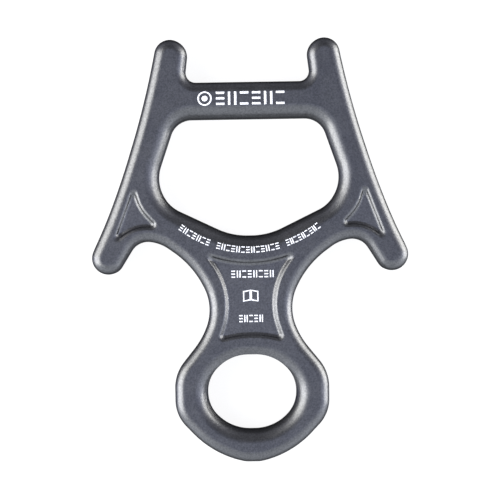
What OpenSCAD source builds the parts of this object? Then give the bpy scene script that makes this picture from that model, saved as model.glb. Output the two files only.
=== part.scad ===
// Rope descender: a forged figure-of-eight plate with four horns, for belaying,
// abseiling and lowering loads on a rope.
// The plate lies flat. +Z is its thickness, +Y runs from the small connector eye to
// the large rope eye and +X is to the right. The origin is under the middle of the
// plate. Lengths are in millimetres and angles in degrees.

/* [Overall size] */
// Length from the foot of the connector eye to the tips of the upper horns
plate_length = 160; // [144:1:176]
// Thickness of the forging
plate_thickness = 13; // [11:0.5:15]

/* [Rounded edges] */
// Radius of the outside edge, between its side and a face
outer_round = 3.9; // [3:0.1:3.9]
// Radius of the edges of both eyes
eye_round = 5.7; // [4:0.1:5.7]
// How much of the connector eye's rounding is cut away at the neck
neck_trim = 2.1; // [0:0.1:2.5]
// How far all sides lean in from their middle to each rounding
side_lean = 0.1; // [0:0.05:0.1]
// Flats round one quarter of an edge's rounding
edge_flats = 5; // [3:1:8]

/* [Forged pockets] */
// Depth of the pockets on both faces
pocket_depth = 1.4; // [1:0.1:1.4]
// Steepest slope of the pocket walls
pocket_slope = 57.4; // [57.4:0.2:80]

/* [Printed marks] */
// Thickness of the printed film
print_thickness = 0.04; // [0.02:0.01:0.1]
// Height of the marks on the top bar
bar_mark_height = 5; // [3:0.1:5.4]
// Height of the marks on the arc under the rope eye
arc_mark_height = 2.4; // [1.5:0.1:2.6]
// Height of the marks in the neck pocket
neck_mark_height = 2.7; // [1.5:0.1:3]

/* [Hidden] */

body_colour = [0.34, 0.35, 0.39];
print_colour = [0.93, 0.94, 0.95];

// How far a flat may stray from a true arc, and the widest turn from one flat to the next.
chord = 0.08;
widest_turn = 30;
// How far a cutter runs past the faces.
past = 1;

mid_height = plate_thickness / 2;
pocket_floor = plate_thickness - pocket_depth;
// The wall of a pocket turns over at the rim and at the floor with one radius, and
// stands out from its middle by half its width, seen from above.
wall_fillet = pocket_depth / 2 / (1 - cos(pocket_slope));
wall_half = wall_fillet * sin(pocket_slope);

// ---- Outlines ----
// One corner per line, as [x, y, corner radius], clockwise from above, with y from the
// middle of the plate. A fourth number says how fast the radius of a pocket's corner
// opens towards the rim. The outlines are drawn for a plate 160 long.

drawn_length = 160;
size = plate_length / drawn_length;

// right half, from the top bar to the foot
outer_half = [
    [23.8,  63.6,   3.8],  // the top bar meets the upper horn
    [22.2,  76.9,   6.5],  // upper horn tip, inner side
    [33.4,  83.3,   6],    // upper horn tip, outer side
    [38.9,  56.2, 330],    // long curve of the arm
    [48.2,  26.8, 300],
    [54.5,  10.4, 200],
    [58.8,   1.4,  36],
    [64.8, -12.9,   6.2],  // lower horn tip, outer side
    [49.4,  -7.4,   5.4],  // lower horn tip, inner side
    [42.1,   4.3,   7],    // crotch under the lower horn
    [33.7,   2.9,  14.8],
    [22,    -5.5,  34.8],  // shoulder of the neck
    [13.7, -21.7,  18.6],  // waist
    [19.1, -33.9,  29.5],
    [29.2, -46.5,  15.6],  // side of the connector eye
    [29.1, -62.2,  13.8],
    [15.1, -77,    37],    // foot
    [ 2.9, -80,    12]
];

// right half, from the top bar down
rope_eye_half = [
    [27.2, 49.4,  8.2],
    [35.3, 25.8, 14.1],
    [29.8, 16.6, 12.9],
    [ 6.8,  5.5, 26.9]
];

// right half, from the neck down
connector_eye_half = [
    [ 7.6, -39.5, 15.9],
    [17,   -48.2, 12.3],
    [16.3, -59.1, 12.2],
    [ 7.8, -67.4, 17]
];

// the pockets, along the middle of their walls
neck_pocket_top = [0, -6.6, 42];
neck_pocket_foot = [0, -31.05, 39];
neck_pocket_side = [
    [16.6,  -1.6,  1,   0.6],
    [ 6.1, -16.3, 26.4],
    [11.9, -33.8,  1.2, 0.6]
];
side_pocket_outline = [
    [43.6, 23.8,  1,    0.6],
    [51.1,  3.8,  1,    0.6],
    [43,    9.5, 13.4],
    [34.5,  8.9,  1.1,  0.8],
    [41,   15.8, 16]
];

// ---- Places of the marks ----

bar_emblem_at = [-16.2, 57.3];
bar_emblem_radii = [2.7, 2.15, 1.1];  // outside and inside of the ring, and the dot
bar_mark_at = [1, 54.8];
bar_mark_width = 25.8;
bar_mark_signs = 6;
// The arc of the marks follows the lower edge of the rope eye.
mark_arc_centre = [0, 42.5];
mark_arc_radius = 43.6;
model_mark_span = [-38, -21];  // angles from straight down
model_mark_signs = 7;
rope_size_span = [-17, 15];
rope_size_signs = 13;
standard_mark_span = [19, 38];
standard_mark_signs = 9;
strength_mark_at = [0.8, -10.4];
strength_mark_width = 16;
strength_mark_signs = 8;
symbol_at = [0, -19];
page_size = [2.9, 4];
page_lean = 0.5;
page_stroke = 0.45;
date_mark_at = [0, -27.2];
date_mark_width = 9;
date_mark_signs = 5;

// ---- Outline functions ----

function mirrored_corner(c) = concat([-c[0]], [for (k = [1 : len(c) - 1]) c[k]]);
function other_half(half) = [for (i = [len(half) - 1 : -1 : 0]) mirrored_corner(half[i])];
function both_halves(half) = concat(half, other_half(half));

function place(c) = size * [c[0], c[1]];
function unit(v) = v / norm(v);
function left_of(v) = [-v[1], v[0]];
function cross_z(a, b) = a[0] * b[1] - a[1] * b[0];

// Points of the rounded corner i of an outline that is moved out by d.
function corner_points(outline, i, d) =
    let (n = len(outline),
         here = outline[i],
         along_in = unit(place(here) - place(outline[(i + n - 1) % n])),
         along_out = unit(place(outline[(i + 1) % n]) - place(here)),
         bulge = cross_z(along_in, along_out) < 0 ? 1 : -1,
         normal_in = left_of(along_in),
         middle = (normal_in + left_of(along_out)) / (1 + along_in * along_out),
         opening = len(here) > 3 ? here[3] : bulge,
         drawn_radius = size * here[2],
         radius = drawn_radius + opening * d,
         centre = place(here) + (d - bulge * radius) * middle,
         swept = acos(along_in * along_out),
         flat_turn = min(widest_turn, 2 * acos(1 - chord / drawn_radius)),
         flats = ceil(swept / flat_turn),
         start = atan2(bulge * normal_in[1], bulge * normal_in[0]))
    [for (s = [0 : flats])
        let (a = start - bulge * swept * s / flats)
        centre + radius * [cos(a), sin(a)]];

function outline_points(outline, d) =
    [for (i = [0 : len(outline) - 1]) for (p = corner_points(outline, i, d)) p];

// The outline moved out by d. Where a rounding is trimmed it is moved less, most of all
// towards +Y, but never back past the side.
function ring_points(outline, d, trim) =
    let (start = outline_points(outline, 0), end = outline_points(outline, 1))
    [for (k = [0 : len(start) - 1])
        let (out = end[k] - start[k], least = min(d, side_lean))
        start[k] + out * max(least, d - trim * max(0, out[1]))];

// A solid between rings of one outline. Each level is [height, how far it is moved out].
module lofted(outline, levels, trim = 0) {
    count = len(outline_points(outline, 0));
    last = len(levels) - 1;
    points = [for (l = levels) for (p = ring_points(outline, l[1], trim)) [p[0], p[1], l[0]]];
    sides = [for (j = [0 : last - 1]) for (k = [0 : count - 1])
        let (here = j * count + k, next = j * count + (k + 1) % count)
        each [[here, next, next + count], [here, next + count, here + count]]];
    underside = [[for (k = [count - 1 : -1 : 0]) k]];
    top = [[for (k = [0 : count - 1]) last * count + k]];
    polyhedron(points, concat(underside, sides, top), convexity = 8);
}

// ---- Edges and walls, as levels for lofted() ----

// Levels of an edge from the lower face up, as [height, how far into the metal]: the flats
// of a rounding. Above it the side leans out to the parting line at the middle height.
function lower_edge(radius) = [for (j = [0 : edge_flats])
    let (a = 90 * j / edge_flats)
    [radius * (1 - cos(a)), radius * (1 - sin(a)) + side_lean]];

// The same levels again, from the middle to the upper face.
function to_upper(levels) = [for (j = [len(levels) - 1 : -1 : 0])
    [plate_thickness - levels[j][0], levels[j][1]]];

function outer_edge() =
    let (lower = [for (l = lower_edge(outer_round)) [l[0], -l[1]]])
    concat(lower, [[mid_height, 0]], to_upper(lower));

// An eye's cutter runs past both faces.
function eye_edge() =
    let (lower = concat([[-past, eye_round + side_lean]], lower_edge(eye_round)))
    concat(lower, [[mid_height, 0]], to_upper(lower));

// The wall of a pocket, from its floor to its rim.
function pocket_wall() = concat(
    [for (share = [0 : 1/3 : 1])
        let (a = share * pocket_slope)
        [pocket_floor + wall_fillet * (1 - cos(a)), wall_fillet * sin(a) - wall_half]],
    [for (share = [2/3, 1/3, 0])
        let (a = share * pocket_slope)
        [plate_thickness - wall_fillet * (1 - cos(a)), wall_half - wall_fillet * sin(a)]],
    [[plate_thickness + past, wall_half]]);

// ---- The forging ----

module blank() lofted(both_halves(outer_half), outer_edge());

module rope_eye() lofted(both_halves(rope_eye_half), eye_edge());

module connector_eye() lofted(both_halves(connector_eye_half), eye_edge(), neck_trim);

module neck_pocket() lofted(concat([neck_pocket_top], neck_pocket_side,
                                   [neck_pocket_foot], other_half(neck_pocket_side)),
                            pocket_wall());

module side_pocket() lofted(side_pocket_outline, pocket_wall());

module pockets_of_one_face() {
    neck_pocket();
    side_pocket();
    mirror([1, 0, 0]) side_pocket();
}

module forging() difference() {
    blank();
    rope_eye();
    connector_eye();
    pockets_of_one_face();
    translate([0, 0, plate_thickness]) mirror([0, 0, 1]) pockets_of_one_face();
}

// Resizing to nothing leaves the size as it is and joins the faces into one skin.
module forged_body() color(body_colour) resize([0, 0, 0]) forging();

// ---- The printed marks: rows of plain strokes, no lettering ----

// A stroke's thickness, as a share of the mark's height, and a sign's width, as a share of
// the room that it has in its row.
stroke_share = 0.17;
sign_share = 0.7;

module upright_strokes(width, height, stroke) {
    square([stroke, height]);
    translate([width - stroke, 0]) square([stroke, height]);
}

module level_strokes(width, height, stroke, count) {
    for (k = [0 : count - 1])
        translate([0, (height - stroke) * k / (count - 1)]) square([width, stroke]);
}

// The signs of a row take turns: three level strokes, two upright ones, two level ones.
module sign(i, width, height) {
    stroke = stroke_share * height;
    if (i % 3 == 0) level_strokes(width, height, stroke, 3);
    if (i % 3 == 1) upright_strokes(width, height, stroke);
    if (i % 3 == 2) level_strokes(width, height, stroke, 2);
}

function sign_pitch(span, count) = span / (count - 1 + sign_share);

// A straight row of signs, centred on x.
module sign_row(width, height, count) {
    pitch = sign_pitch(width, count);
    for (i = [0 : count - 1])
        translate([pitch * i - width / 2, 0]) sign(i, pitch * sign_share, height);
}

// A row of signs on the arc of the marks, between two angles from straight down.
module sign_arc(from, to, height, count) {
    pitch = sign_pitch(to - from, count);
    sign_width = mark_arc_radius * pitch * sign_share * PI / 180;
    translate(mark_arc_centre)
        for (i = [0 : count - 1])
            rotate(from + pitch * (i + sign_share / 2))
                translate([-sign_width / 2, -mark_arc_radius]) sign(i, sign_width, height);
}

// A film that follows the rounded upper face of the forging.
module draped_film() color(print_colour) resize([0, 0, 0]) intersection() {
    translate([0, 0, mid_height]) linear_extrude(height = plate_thickness) children();
    difference() {
        translate([0, 0, print_thickness]) forging();
        forging();
    }
}

// A film on the flat floor of the neck pocket.
module pocket_film() color(print_colour) translate([0, 0, pocket_floor])
    linear_extrude(height = print_thickness) children();

module maker_mark_print() draped_film() {
    translate(bar_emblem_at) {
        difference() {
            circle(r = bar_emblem_radii[0], $fn = 32);
            circle(r = bar_emblem_radii[1], $fn = 32);
        }
        circle(r = bar_emblem_radii[2], $fn = 16);
    }
    translate(bar_mark_at) sign_row(bar_mark_width, bar_mark_height, bar_mark_signs);
}

module model_mark_print() draped_film()
    sign_arc(model_mark_span[0], model_mark_span[1], arc_mark_height, model_mark_signs);

module rope_size_print() draped_film()
    sign_arc(rope_size_span[0], rope_size_span[1], arc_mark_height, rope_size_signs);

module standard_mark_print() draped_film()
    sign_arc(standard_mark_span[0], standard_mark_span[1], arc_mark_height,
             standard_mark_signs);

module strength_rating_print() pocket_film() translate(strength_mark_at)
    sign_row(strength_mark_width, neck_mark_height, strength_mark_signs);

// The right page of an open book, that starts at the fold and leans down from it.
module page(inset) polygon([[inset, inset],
                            [page_size[0] - inset, inset - page_lean],
                            [page_size[0] - inset, page_size[1] - page_lean - inset],
                            [inset, page_size[1] - inset]]);

module read_manual_symbol_print() pocket_film() translate(symbol_at)
    for (side = [0, 1]) mirror([side, 0]) difference() {
        page(0);
        page(page_stroke);
    }

module date_print() pocket_film() translate(date_mark_at)
    sign_row(date_mark_width, neck_mark_height, date_mark_signs);

forged_body();
maker_mark_print();
model_mark_print();
rope_size_print();
standard_mark_print();
strength_rating_print();
read_manual_symbol_print();
date_print();
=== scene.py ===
"""The looks of a forged rope descender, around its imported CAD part.

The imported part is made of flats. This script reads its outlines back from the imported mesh,
turns their chords into true arcs, and builds the forging again as one smooth skin. The
printed marks that lie near a rounded edge are laid on that skin again.
"""

import math

import bpy
import numpy as np
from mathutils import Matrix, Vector, geometry


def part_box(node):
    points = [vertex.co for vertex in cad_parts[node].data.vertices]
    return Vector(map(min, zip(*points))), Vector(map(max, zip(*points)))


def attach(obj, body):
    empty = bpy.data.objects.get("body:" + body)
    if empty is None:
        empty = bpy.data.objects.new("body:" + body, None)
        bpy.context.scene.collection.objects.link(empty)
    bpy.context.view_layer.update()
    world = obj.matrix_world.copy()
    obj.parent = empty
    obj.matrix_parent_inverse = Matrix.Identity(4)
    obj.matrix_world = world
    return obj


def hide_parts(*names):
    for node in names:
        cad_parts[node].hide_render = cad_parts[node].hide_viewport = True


MM = 0.001

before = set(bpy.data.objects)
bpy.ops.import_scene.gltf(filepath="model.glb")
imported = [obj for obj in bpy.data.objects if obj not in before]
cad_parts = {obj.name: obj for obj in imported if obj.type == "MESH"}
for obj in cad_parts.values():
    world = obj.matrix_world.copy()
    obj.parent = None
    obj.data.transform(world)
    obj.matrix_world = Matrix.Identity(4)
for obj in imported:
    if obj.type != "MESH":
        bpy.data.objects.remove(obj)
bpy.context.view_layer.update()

# ---- What is built ----

FORGING = "forged_body"
DRAPED_MARKS = ("maker_mark_print", "model_mark_print", "rope_size_print", "standard_mark_print")
POCKET_MARKS = ("strength_rating_print", "read_manual_symbol_print", "date_print")

POCKET_DEPTH = 1.4 * MM
# Slopes of the pockets' walls: where they face along X, in the neck and at the horns, and
# where any of them faces along Y
NECK_WALL_SLOPE = math.radians(43)
HORN_WALL_SLOPE = math.radians(50)
END_WALL_SLOPE = math.radians(57)

body_low, body_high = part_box(FORGING)
TOP = body_high.z
MIDDLE = TOP / 2
POCKET_FLOOR = TOP - POCKET_DEPTH
POCKET_WALL_MIDDLE = TOP - POCKET_DEPTH / 2

# Fineness of the skin
ALONG = 0.6 * MM  # from point to point along an edge
EDGE_RINGS = 14  # strips round a rounded edge, from its side to a face
FILLET_RINGS = 6  # strips round each of the two fillets of a pocket's wall
SKIN_FILL = 3 * MM  # from point to point inside a level face
MARK_FILL = 0.5 * MM  # from point to point inside a draped film, and along its outline
CLEAR_SHARE = 0.6  # how far such a point stays from an outline, as a share of that spacing
POINTS_AT_ONCE = 400  # how many points are compared with an edge at one time

# How near is near enough
SAME_PLACE = 2e-6  # metres between two corners that count as one
JOINED_MM = 1e-5  # the same in millimetres, when a face is filled
STRAIGHT = 1e-6  # radians that a chord which counts as straight may turn through, halved

# How far a side leans in from the parting line, at the middle of the thickness, to its
# rounding
SIDE_LEAN = 0.1 * MM

INK_HEIGHT = 0.03 * MM
INK_ROOT = 0.03 * MM  # how far a draped film goes down into the skin
UPWARD_SHARE = 0.2  # upright part of a normal, from which a film's face is on its upper side


# ---- Outlines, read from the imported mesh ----


def welded(node):
    """Corners and triangles of a CAD node, with the corners at one place made one."""
    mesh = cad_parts[node].data
    mesh.calc_loop_triangles()
    corners = np.array([v.co for v in mesh.vertices])
    cells = np.round(corners / (SAME_PLACE / 2))
    _, first, index = np.unique(cells, axis=0, return_index=True, return_inverse=True)
    triangles = np.array([t.vertices for t in mesh.loop_triangles])
    return corners[first], index.reshape(-1)[triangles]


def chained(follow):
    """Closed chains of corners, from a table of which corner follows which."""
    chains = []
    while follow:
        start, here = follow.popitem()
        chain = [start]
        while here != start:
            chain.append(here)
            here = follow.pop(here)
        chains.append(chain)
    return chains


def outlines_at(corners, triangles, height):
    """Closed outlines at a height, with the open air on the right of the way round.

    They are the sides, at that height, of the triangles that rise from it."""
    level = np.abs(corners[:, 2] - height) < SAME_PLACE
    follow = {}
    for triangle in triangles:
        for k in range(3):
            a, b, c = triangle[k], triangle[k - 2], triangle[k - 1]
            if level[a] and level[b] and corners[c, 2] > height + SAME_PLACE:
                follow[a] = b
    return [corners[chain][:, :2] for chain in chained(follow)]


def half_turns(points):
    """Heading, half turn and length of each chord.

    The half turn is half of the angle that the true arc over the chord turns through. The
    outline has no sharp corner, so from one chord to the next the heading changes by half
    of the one arc's angle and half of the other's."""
    chords = np.roll(points, -1, axis=0) - points
    heading = np.arctan2(chords[:, 1], chords[:, 0])
    turn = np.angle(np.exp(1j * (heading - np.roll(heading, 1))))
    half = np.zeros(len(points))
    for i in range(1, len(points)):
        half[i] = turn[i] - half[i - 1]
    sign = np.where(np.arange(len(points)) % 2, -1.0, 1.0)
    drift = np.median(sign[:-1] * (half[:-1] - half[1:])) / 2
    return heading, half - drift * sign, np.hypot(chords[:, 0], chords[:, 1])


def smooth_outline(points, pieces=None):
    """Places along the true outline, the direction towards the open air, and the pieces.

    Each chord is cut into as many pieces as ALONG asks, or as pieces says."""
    heading, half, length = half_turns(points)
    if pieces is None:
        pieces = np.maximum(1, np.ceil(length / ALONG)).astype(int)
    places = []
    airward = []
    for point, angle, turn, chord, count in zip(points, heading, half, length, pieces):
        share = np.arange(count) / count
        gone = np.sin(turn * share) / np.sin(turn) if abs(turn) > STRAIGHT else share
        along = angle - turn + turn * share
        places.append(point + (chord * gone)[:, None] * np.c_[np.cos(along), np.sin(along)])
        tangent = angle - turn + 2 * turn * share
        airward.append(np.c_[np.sin(tangent), -np.cos(tangent)])
    return np.vstack(places), np.vstack(airward), pieces


def nearest(plan, edge):
    """How far each point lies inside the metal from an edge, and its place there."""
    place = np.empty(len(plan), dtype=int)
    for k in range(0, len(plan), POINTS_AT_ONCE):
        gap = edge.places[None, :, :] - plan[k : k + POINTS_AT_ONCE, None, :]
        place[k : k + POINTS_AT_ONCE] = (gap**2).sum(axis=2).argmin(axis=1)
    depth = ((edge.places[place] - plan) * edge.airward[place]).sum(axis=1)
    return depth, place


def width(outline):
    """How wide an outline is along X."""
    return np.ptp(outline[:, 0])


def in_step(points, other):
    """Points of one ring, started anew so that their chords head as another ring's do."""
    heading = np.exp(1j * half_turns(points)[0])
    wanted = np.exp(1j * half_turns(other)[0])
    misfit = [np.abs(np.roll(heading, -k) - wanted).sum() for k in range(len(points))]
    return np.roll(points, -np.argmin(misfit), axis=0)


class Edge:
    """A rounded edge: its outline at the middle of the thickness, and its section.

    The side leans in a little, and then up to a quarter of a circle turns over to the face.
    It reaches into the metal less where the side cuts part of the circle away."""

    def __init__(self, outline, rim):
        self.places, self.airward, pieces = smooth_outline(outline)
        reach = np.linalg.norm(in_step(rim, outline) - outline, axis=1)
        along = np.concatenate([k + np.arange(count) / count for k, count in enumerate(pieces)])
        self.reach = np.interp(along, np.arange(len(reach) + 1), np.r_[reach, reach[0]])
        self.radius = reach.max() - SIDE_LEAN

    def height(self, plan):
        """Height of the upper face where only this edge lowers it."""
        depth, place = nearest(plan, self)
        outward = np.clip((self.reach[place] - depth) / self.radius, 0, 1)
        return TOP - self.radius * (1 - np.sqrt(1 - outward**2))


BODY = welded(FORGING)

# The outside edge, then the rope eye, then the connector eye
OUTLINES = sorted(outlines_at(*BODY, MIDDLE), key=width, reverse=True)
RIMS = sorted(outlines_at(*BODY, 0), key=width, reverse=True)
EDGES = [Edge(outline, rim) for outline, rim in zip(OUTLINES, RIMS)]


def skin_height(plan):
    """Height of the upper face, rounded edges included but pockets not."""
    return np.min([edge.height(plan) for edge in EDGES], axis=0)


# ---- Filling a level face with triangles ----


def winds_round(ring, points):
    """True for each point that lies inside a ring."""
    a = ring[None, :, :] - points[:, None, :]
    b = np.roll(ring, -1, axis=0)[None, :, :] - points[:, None, :]
    crosses = (a[..., 1] > 0) != (b[..., 1] > 0)
    rise = np.where(crosses, b[..., 1] - a[..., 1], 1)
    x = a[..., 0] - a[..., 1] * (b[..., 0] - a[..., 0]) / rise
    return (crosses & (x > 0)).sum(axis=1) % 2 == 1


def in_face(rings, points):
    """True for each point inside the first ring and outside the others."""
    inside = winds_round(rings[0], points)
    for hole in rings[1:]:
        inside &= ~winds_round(hole, points)
    return inside


def clear_of(ring, points, distance):
    """True for each point that lies further than a distance from all corners of a ring."""
    gap = points[:, None, :] - ring[None, :, :]
    return (gap**2).sum(axis=2).min(axis=1) > distance**2


def points_within(rings, spacing):
    """A staggered grid of points inside a face, clear of its rings."""
    low = rings[0].min(axis=0)
    high = rings[0].max(axis=0)
    grid = []
    for j, y in enumerate(np.arange(low[1], high[1], spacing * math.sqrt(3) / 2)):
        shift = spacing / 2 if j % 2 else 0
        grid += [(x + shift, y) for x in np.arange(low[0], high[0], spacing)]
    grid = np.array(grid).reshape(-1, 2)
    grid = grid[in_face(rings, grid)]
    for ring in rings:
        grid = grid[clear_of(ring, grid, spacing * CLEAR_SHARE)]
    return grid


def filled(rings, spacing):
    """Points inside a face, and its triangles. They number the rings' points, then these."""
    field = points_within(rings, spacing)
    sides = []
    start = 0
    for ring in rings:
        sides += [(start + k, start + (k + 1) % len(ring)) for k in range(len(ring))]
        start += len(ring)
    plan = np.vstack([*rings, field])
    made = geometry.delaunay_2d_cdt([tuple(p) for p in plan / MM], sides, [], 0, JOINED_MM, True)
    triangles = np.array([[made[3][v][0] for v in t] for t in made[2]])
    return field, triangles[in_face(rings, plan[triangles].mean(axis=1))].tolist()


# ---- The forging ----


class Skin:
    """Points of the upper half of the forging, and faces that know their own normals."""

    def __init__(self):
        self.points = np.zeros((0, 3))
        self.faces = []
        self.normals = []

    def add(self, plan, height):
        """Adds points at one height and returns their numbers."""
        first = len(self.points)
        self.points = np.vstack([self.points, np.c_[plan, np.full(len(plan), height)]])
        return np.arange(first, first + len(plan))

    def join(self, lower, upper, lower_normals, upper_normals):
        """Joins two rings with a strip of four-sided faces."""
        for k in range(len(lower)):
            m = (k + 1) % len(lower)
            self.faces.append([lower[k], lower[m], upper[m], upper[k]])
            self.normals.append(
                [lower_normals[k], lower_normals[m], upper_normals[m], upper_normals[k]]
            )

    def join_smoothly(self, rings, normals):
        for k in range(len(rings) - 1):
            self.join(rings[k], rings[k + 1], normals[k], normals[k + 1])

    def fill(self, rings, height):
        """Fills a level face. The first ring is its outside and the others are holes."""
        field, made = filled([self.points[ring][:, :2] for ring in rings], SKIN_FILL)
        numbers = np.concatenate([*rings, self.add(field, height)])
        self.faces += [[numbers[v] for v in t] for t in made]
        self.normals += [[(0, 0, 1)] * 3 for t in made]


def unit(vectors):
    return vectors / np.linalg.norm(vectors, axis=1)[:, None]


def edge_skin(skin, edge):
    """The upper half of an edge, from its parting line. Returns the ring at the face."""
    tangent = np.c_[-edge.airward[:, 1], edge.airward[:, 0]]
    spread_of_reach = np.roll(edge.reach, -1) - np.roll(edge.reach, 1)
    first_angle = np.arccos(np.minimum(1, (edge.reach - SIDE_LEAN) / edge.radius))
    rings = []
    normals = []
    for share in np.linspace(0, 1, EDGE_RINGS + 1):
        angle = first_angle + (math.pi / 2 - first_angle) * share
        inset = edge.reach - edge.radius * np.cos(angle)
        plan = edge.places - edge.airward * inset[:, None]
        rings.append(skin.add(plan, TOP - edge.radius * (1 - np.sin(angle))))
        around = np.linalg.norm(np.roll(plan, -1, axis=0) - np.roll(plan, 1, axis=0), axis=1)
        level = edge.airward + tangent * (spread_of_reach / around)[:, None]
        normals.append(unit(np.c_[level * np.cos(angle)[:, None], np.sin(angle)]))
    skin.join_smoothly(rings, normals)
    parting = skin.add(edge.places, MIDDLE)
    upright = skin.points[rings[0], 2] - MIDDLE
    lean = np.full(len(upright), SIDE_LEAN)
    side = unit(np.c_[edge.airward * upright[:, None], lean])
    skin.join(parting, rings[0], side, side)
    return rings[-1]


def pocket_skin(skin, floor_outline, middle_outline, least_slope):
    """A pocket's floor and wall. Returns the ring at its rim.

    A fillet rises from the floor, the wall goes on straight, and another fillet rolls over
    to the rim. The outline moves evenly outward with the wall, and the slope is least
    where the wall faces along X."""
    middle, airward, pieces = smooth_outline(middle_outline)
    floor, _, _ = smooth_outline(in_step(floor_outline, middle_outline), pieces)
    outward = middle - floor
    half_width = np.median(np.linalg.norm(outward, axis=1))
    outward = outward / half_width
    half_depth = POCKET_DEPTH / 2
    slope = least_slope + (END_WALL_SLOPE - least_slope) * airward[:, 1] ** 2
    fillet = (half_width - half_depth / np.tan(slope)) / np.tan(slope / 2)
    shares = np.arange(FILLET_RINGS + 1) / FILLET_RINGS
    rising = [(slope * share, -1) for share in shares]
    rolling = [(slope * share, 1) for share in shares[::-1]]
    rings = []
    normals = []
    for angle, side in rising + rolling:
        shift = side * (half_width - fillet * np.sin(angle))
        lift = side * (half_depth - fillet * (1 - np.cos(angle)))
        plan = middle + outward * shift[:, None]
        rings.append(skin.add(plan, POCKET_WALL_MIDDLE + lift))
        upward = -(outward * airward).sum(axis=1) * np.cos(angle)
        normals.append(unit(np.c_[airward * np.sin(angle)[:, None], upward]))
    skin.join_smoothly(rings, normals)
    skin.fill(rings[:1], POCKET_FLOOR)
    return rings[-1]


def forging_skin():
    """Points, faces and face-corner normals of the whole forging."""
    skin = Skin()
    rims = [edge_skin(skin, edge) for edge in EDGES]
    floors = outlines_at(*BODY, POCKET_FLOOR)
    for middle in outlines_at(*BODY, POCKET_WALL_MIDDLE):
        gaps = [np.linalg.norm(floor.mean(axis=0) - middle.mean(axis=0)) for floor in floors]
        in_neck = abs(middle[:, 0].mean()) < MM
        least_slope = NECK_WALL_SLOPE if in_neck else HORN_WALL_SLOPE
        rims.append(pocket_skin(skin, floors[np.argmin(gaps)], middle, least_slope))
    skin.fill(rims, TOP)

    # The lower half mirrors the upper one and shares the points of the parting line.
    above = skin.points[:, 2] > MIDDLE
    lower_number = np.arange(len(above))
    lower_number[above] = len(above) + np.arange(above.sum())
    mirrored = skin.points[above] * (1, 1, -1) + (0, 0, TOP)
    lower_faces = [lower_number[face[::-1]] for face in skin.faces]
    normals = np.array([normal for face in skin.normals for normal in face])
    lower_normals = [normal for face in skin.normals for normal in face[::-1]]
    return (
        np.vstack([skin.points, mirrored]),
        skin.faces + lower_faces,
        np.vstack([normals, np.array(lower_normals) * (1, 1, -1)]),
    )


def new_piece(name, points, faces, material, replaced):
    """A mesh object that rides on the body and stands for a CAD node."""
    mesh = bpy.data.meshes.new(name)
    mesh.from_pydata(points.tolist(), [], [[int(v) for v in face] for face in faces])
    mesh.materials.append(material)
    piece = bpy.data.objects.new(name, mesh)
    bpy.context.collection.objects.link(piece)
    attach(piece, "root")
    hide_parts(replaced)
    return piece


# ---- The draped marks ----


def mark_outlines(node):
    """The plan outlines of a printed film, as the edges of its upper side."""
    corners, triangles = welded(node)
    a, b, c = (corners[triangles[:, k]] for k in range(3))
    normals = np.cross(b - a, c - a)
    facing_up = normals[:, 2] > UPWARD_SHARE * np.linalg.norm(normals, axis=1)
    sides = {(t[k], t[k - 2]) for t in triangles[facing_up] for k in range(3)}
    border = {here: there for here, there in sides if (there, here) not in sides}
    return [corners[chain][:, :2] for chain in chained(border)]


def area(ring):
    """Area inside a ring, positive where the ring goes round anticlockwise."""
    after = np.roll(ring, -1, axis=0)
    return (ring[:, 0] * after[:, 1] - ring[:, 1] * after[:, 0]).sum() / 2


def divided(ring, step):
    """A ring with its sides cut into pieces no longer than a step."""
    result = []
    for here, there in zip(ring, np.roll(ring, -1, axis=0)):
        count = max(1, math.ceil(np.linalg.norm(there - here) / step))
        result += [here + (there - here) * k / count for k in range(count)]
    return np.array(result)


def draped_mark(node, material):
    """A printed film again, as thin closed films that lie on the smooth skin."""
    rings = [divided(ring, MARK_FILL) for ring in mark_outlines(node)]
    holes = [ring for ring in rings if area(ring) < 0]
    points = []
    faces = []
    smooth = []
    for outside in (ring for ring in rings if area(ring) > 0):
        inside = [hole for hole in holes if winds_round(outside, hole[:1])[0]]
        border = [outside, *inside]
        field, triangles = filled(border, MARK_FILL)
        plan = np.vstack([*border, field])
        skin = skin_height(plan)
        first = len(points)
        count = len(plan)
        points += np.c_[plan, skin + INK_HEIGHT].tolist() + np.c_[plan, skin - INK_ROOT].tolist()
        faces += [[first + v for v in t] for t in triangles]
        faces += [[first + count + v for v in reversed(t)] for t in triangles]
        smooth += [True] * (2 * len(triangles))
        start = first
        for ring in border:
            for k in range(len(ring)):
                here, there = start + k, start + (k + 1) % len(ring)
                faces.append([here + count, there + count, there, here])
                smooth.append(False)
            start += len(ring)
    piece = new_piece(node + "_film", np.array(points), faces, material, node)
    piece.data.polygons.foreach_set("use_smooth", smooth)
    return piece


# ---- Nodes ----

NOISE_RANGE = (0.3, 0.7)


def add_node(tree, kind, settings=None, **inputs):
    """A shader node. An input is a value, or a socket to link from."""
    made = tree.nodes.new(kind)
    for name, value in (settings or {}).items():
        setattr(made, name, value)
    for name, value in inputs.items():
        target = made.inputs[int(name[2:]) if name.startswith("in") else name.replace("_", " ")]
        if isinstance(value, bpy.types.NodeSocket):
            tree.links.new(value, target)
        else:
            target.default_value = value
    return made


def noise(tree, place, size, detail, roughness):
    """Noise whose patches are about a size across, from 0 to 1."""
    made = add_node(
        tree,
        "ShaderNodeTexNoise",
        Vector=place,
        Scale=1 / size,
        Detail=detail,
        Roughness=roughness,
    )
    return made.outputs["Fac"]


def spread(tree, value, low, high):
    """Noise brought from the range that it mostly keeps to, to between two values."""
    least, most = NOISE_RANGE
    made = add_node(tree, "ShaderNodeMapRange", in0=value, in1=least, in2=most, in3=low, in4=high)
    return made.outputs["Result"]


def calc(tree, operation, a, b):
    return add_node(tree, "ShaderNodeMath", {"operation": operation}, in0=a, in1=b).outputs[0]


def new_material(name):
    material = bpy.data.materials.new(name)
    material.use_nodes = True
    tree = material.node_tree
    tree.nodes.clear()
    return material, tree


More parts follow.
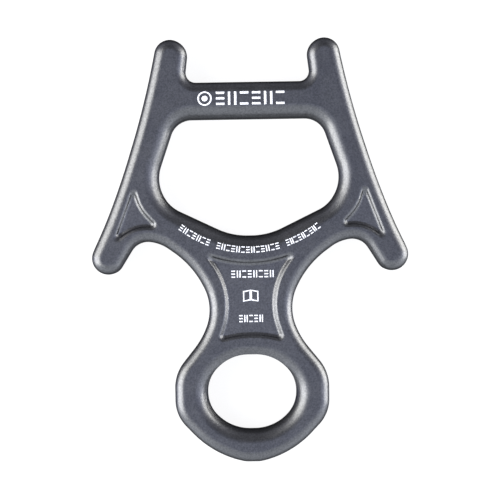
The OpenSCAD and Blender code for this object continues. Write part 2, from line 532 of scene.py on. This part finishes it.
# ---- Materials ----

FLOOR_PALENESS = 0.12
LEVEL = 0.97  # upright part of a normal, from which a face counts as level

# The dye, from its darkest to its palest speckle, and how far it drifts from patch to patch
DYE_DARK = (0.088, 0.089, 0.0915, 1)
DYE_PALE = (0.144, 0.1455, 0.149, 1)
DYE_DRIFT = (0.97, 1.03)
ALLOY_ROUGHNESS = (0.33, 0.39)
PATCH_SIZE = 7 * MM
SPECKLE_SIZE = 0.6 * MM
BEAD_SIZE = 0.22 * MM
BEAD_DEPTH = 0.008 * MM

INK_THIN = (0.74, 0.75, 0.77, 1)
INK_THICK = (0.84, 0.85, 0.87, 1)
INK_PATCH = 0.6 * MM
INK_RELIEF = 0.01 * MM


def pocket_paleness(tree, place):
    """More than 1 on the level floors of the pockets, whose colour is made paler there."""
    facing = add_node(tree, "ShaderNodeNewGeometry").outputs["Normal"]
    up = add_node(tree, "ShaderNodeSeparateXYZ", Vector=facing).outputs[2]
    height = add_node(tree, "ShaderNodeSeparateXYZ", Vector=place).outputs[2]
    off_middle = calc(tree, "ABSOLUTE", calc(tree, "SUBTRACT", height, MIDDLE), 0.0)
    sunk = calc(tree, "LESS_THAN", off_middle, POCKET_WALL_MIDDLE - MIDDLE)
    level = calc(tree, "GREATER_THAN", calc(tree, "ABSOLUTE", up, 0.0), LEVEL)
    gain = calc(tree, "MULTIPLY", calc(tree, "MULTIPLY", sunk, level), FLOOR_PALENESS)
    return calc(tree, "ADD", gain, 1.0)


def anodised_alloy():
    """Forged alloy, blasted with fine beads and dyed dark grey.

    The dye is a little uneven, as it is over forged grain, and the blasted skin sparkles
    finely."""
    material, tree = new_material("anodised_alloy")
    place = add_node(tree, "ShaderNodeTexCoord").outputs["Object"]
    patches = noise(tree, place, PATCH_SIZE, 3, 0.55)
    speckle = noise(tree, place, SPECKLE_SIZE, 2, 0.6)
    grain = noise(tree, place, BEAD_SIZE, 2, 0.5)
    dye = add_node(
        tree,
        "ShaderNodeMix",
        {"data_type": "RGBA"},
        in0=spread(tree, speckle, 0, 1),
        in6=DYE_DARK,
        in7=DYE_PALE,
    )
    drift = spread(tree, patches, *DYE_DRIFT)
    shade = calc(tree, "MULTIPLY", drift, pocket_paleness(tree, place))
    shaded = add_node(
        tree, "ShaderNodeVectorMath", {"operation": "SCALE"}, in0=dye.outputs[2], in3=shade
    )
    bump = add_node(tree, "ShaderNodeBump", Strength=0.5, Distance=BEAD_DEPTH, Height=grain)
    shader = add_node(
        tree,
        "ShaderNodeBsdfPrincipled",
        Base_Color=shaded.outputs["Vector"],
        Metallic=1.0,
        Roughness=spread(tree, patches, *ALLOY_ROUGHNESS),
        Normal=bump.outputs["Normal"],
    )
    add_node(tree, "ShaderNodeOutputMaterial", Surface=shader.outputs["BSDF"])
    return material


def white_ink():
    """Pad-printed white ink, matt, a little thin in places."""
    material, tree = new_material("white_print")
    place = add_node(tree, "ShaderNodeTexCoord").outputs["Object"]
    cover = noise(tree, place, INK_PATCH, 3, 0.6)
    ink = add_node(
        tree,
        "ShaderNodeMix",
        {"data_type": "RGBA"},
        in0=spread(tree, cover, 0, 1),
        in6=INK_THIN,
        in7=INK_THICK,
    )
    bump = add_node(tree, "ShaderNodeBump", Strength=0.3, Distance=INK_RELIEF, Height=cover)
    shader = add_node(
        tree,
        "ShaderNodeBsdfPrincipled",
        Base_Color=ink.outputs[2],
        Roughness=0.55,
        Normal=bump.outputs["Normal"],
    )
    add_node(tree, "ShaderNodeOutputMaterial", Surface=shader.outputs["BSDF"])
    return material


# ---- The object ----

alloy = anodised_alloy()
ink = white_ink()

points, faces, corner_normals = forging_skin()
forging = new_piece("smooth_forging", points, faces, alloy, FORGING)
forging.data.polygons.foreach_set("use_smooth", [True] * len(faces))
forging.data.normals_split_custom_set(corner_normals)

for node in DRAPED_MARKS:
    draped_mark(node, ink)

for node in POCKET_MARKS:
    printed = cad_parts[node]
    printed.data.materials.clear()
    printed.data.materials.append(ink)

# ---- Camera ----

# The photographer looks straight down on the plate, which lies turned by under a degree.
TURNED = math.radians(0.917)
CAMERA_HEIGHT = 1.2
SENSOR = 36
PICTURE_PER_LENGTH = 1.184  # the picture's side, as a multiple of the plate's length
PICTURE_SIDE = (body_high.y - body_low.y) * PICTURE_PER_LENGTH

centre = (body_low + body_high) / 2
camera_data = bpy.data.cameras.new("camera")
camera_data.sensor_width = SENSOR
camera_data.lens = SENSOR * CAMERA_HEIGHT / PICTURE_SIDE
camera_data.clip_end = 10
camera = bpy.data.objects.new("camera", camera_data)
camera.location = (centre.x, centre.y, MIDDLE + CAMERA_HEIGHT)
camera.rotation_euler = (0, 0, -TURNED)
bpy.context.collection.objects.link(camera)
bpy.context.scene.camera = camera

# ---- Light ----

# Soft overhead light, a little blue. It is brighter from the front, where a panel hangs,
# and dimmer from the back. A span is the part of an axis, for directions of length 1, over
# which a change comes in: along +Y for front and back, and up +Z for what is low down.
OVERHEAD = 0.76
PANEL_GAIN = 0.37
PANEL_SPAN = (-0.26, -0.04)
FRONT_GAIN = 0.24
FRONT_SPAN = (-0.8, -0.1)
BACK_LOSS = 0.54
BACK_SPAN = (-0.01, 0.24)
FAR_BACK_GAIN = 0.25
FAR_BACK_SPAN = (0.7, 1.0)
SIDE_GAIN = 1.0
SIDE_SPAN = (0.2, 1.0)
LOW_SHARE = 0.08
LOW_SPAN = (-0.75, 0.1)

OVERHEAD_TINT = (0.893, 0.967, 1.38, 1)
FRONT_TINT = (0.985, 1.03, 1.13, 1)
FRONT_TINT_SPAN = (-0.35, -0.05)
BACK_TINT = (0.88, 0.89, 1.04, 1)
BACK_TINT_SPAN = (0.02, 0.3)
BACKDROP = (0.9, 0.9, 0.9, 1)  # what the camera sees beyond the floor

# Two soft boxes beside the plate, a little warm, the left one high and the right one low
BOX_DISTANCE = 0.41
BOX_TINT = (1.0, 0.985, 0.92)
LEFT_BOX = {"forward": 0.015, "centre": 0.2, "width": 0.46, "height": 0.5, "radiance": 6.1}
RIGHT_BOX = {"forward": 0.09, "centre": 0.02, "width": 0.42, "height": 0.38, "radiance": 6.9}


def studio_sky():
    """A world that lights the plate from above, and is plain and pale to the camera."""
    world = bpy.data.worlds.new("studio")
    world.use_nodes = True
    tree = world.node_tree
    tree.nodes.clear()
    direction = add_node(tree, "ShaderNodeTexCoord").outputs["Generated"]
    parts = add_node(tree, "ShaderNodeSeparateXYZ", Vector=direction)
    x, y, z = (parts.outputs[k] for k in range(3))

    def ramp(value, span, low, high, smooth=False):
        start, end = span
        settings = {"interpolation_type": "SMOOTHSTEP"} if smooth else {}
        return add_node(
            tree, "ShaderNodeMapRange", settings, in0=value, in1=start, in2=end, in3=low, in4=high
        ).outputs["Result"]

    def tinted(share, first, second):
        return add_node(
            tree, "ShaderNodeMix", {"data_type": "RGBA"}, in0=share, in6=first, in7=second
        ).outputs[2]

    panel = ramp(y, PANEL_SPAN, OVERHEAD + PANEL_GAIN, OVERHEAD, smooth=True)
    front = ramp(y, FRONT_SPAN, FRONT_GAIN, 0)
    back = ramp(y, BACK_SPAN, 0, -BACK_LOSS, smooth=True)
    sides = ramp(calc(tree, "ABSOLUTE", x, 0.0), SIDE_SPAN, 0, SIDE_GAIN, smooth=True)
    low_down = ramp(z, LOW_SPAN, LOW_SHARE, 1, smooth=True)
    far_back = ramp(y, FAR_BACK_SPAN, 0, FAR_BACK_GAIN)
    above = calc(tree, "ADD", calc(tree, "ADD", panel, front), calc(tree, "ADD", back, far_back))
    level = calc(tree, "MULTIPLY", calc(tree, "ADD", above, sides), low_down)
    tint = tinted(ramp(y, FRONT_TINT_SPAN, 1, 0), OVERHEAD_TINT, FRONT_TINT)
    tint = tinted(ramp(y, BACK_TINT_SPAN, 0, 1), tint, BACK_TINT)
    seen = add_node(tree, "ShaderNodeLightPath").outputs["Is Camera Ray"]
    lit = add_node(tree, "ShaderNodeBackground", Color=tint, Strength=level)
    backdrop = add_node(tree, "ShaderNodeBackground", Color=BACKDROP, Strength=1.0)
    mixed = add_node(
        tree, "ShaderNodeMixShader", in0=seen, in1=lit.outputs[0], in2=backdrop.outputs[0]
    )
    add_node(tree, "ShaderNodeOutputWorld", Surface=mixed.outputs[0])
    return world


def soft_box(name, side, forward, centre, width, height, radiance):
    """A soft box that stands beside the plate and faces it."""
    data = bpy.data.lights.new(name, "AREA")
    data.shape = "RECTANGLE"
    data.size = width
    data.size_y = height
    data.energy = radiance * math.pi * width * height
    data.color = BOX_TINT
    box = bpy.data.objects.new(name, data)
    box.location = (side * BOX_DISTANCE, forward, centre)
    aim = Vector((0, 0, MIDDLE)) - box.location
    box.rotation_euler = aim.to_track_quat("-Z", "Y").to_euler()
    box.visible_camera = False
    bpy.context.collection.objects.link(box)


soft_box("left_soft_box", -1, **LEFT_BOX)
soft_box("right_soft_box", 1, **RIGHT_BOX)
bpy.context.scene.world = studio_sky()
bpy.context.scene.view_settings.view_transform = "Standard"

# ---- Floor ----

FLOOR_SIDE = 4
FLOOR_GLOW = 0.9
FLOOR_GREY = (0.15, 0.15, 0.15, 1)

floor_mesh = bpy.data.meshes.new("floor")
half = FLOOR_SIDE / 2
floor_corners = [(-half, -half, 0), (half, -half, 0), (half, half, 0), (-half, half, 0)]
floor_mesh.from_pydata(floor_corners, [], [(0, 1, 2, 3)])
floor = bpy.data.objects.new("floor", floor_mesh)
bpy.context.collection.objects.link(floor)
material, tree = new_material("pale_floor")
glow = add_node(tree, "ShaderNodeEmission", Color=(1, 1, 1, 1), Strength=FLOOR_GLOW)
matt = add_node(tree, "ShaderNodeBsdfDiffuse", Color=FLOOR_GREY)
both = add_node(tree, "ShaderNodeAddShader", in0=glow.outputs[0], in1=matt.outputs[0])
add_node(tree, "ShaderNodeOutputMaterial", Surface=both.outputs[0])
floor_mesh.materials.append(material)
floor.visible_glossy = False
floor.visible_shadow = False
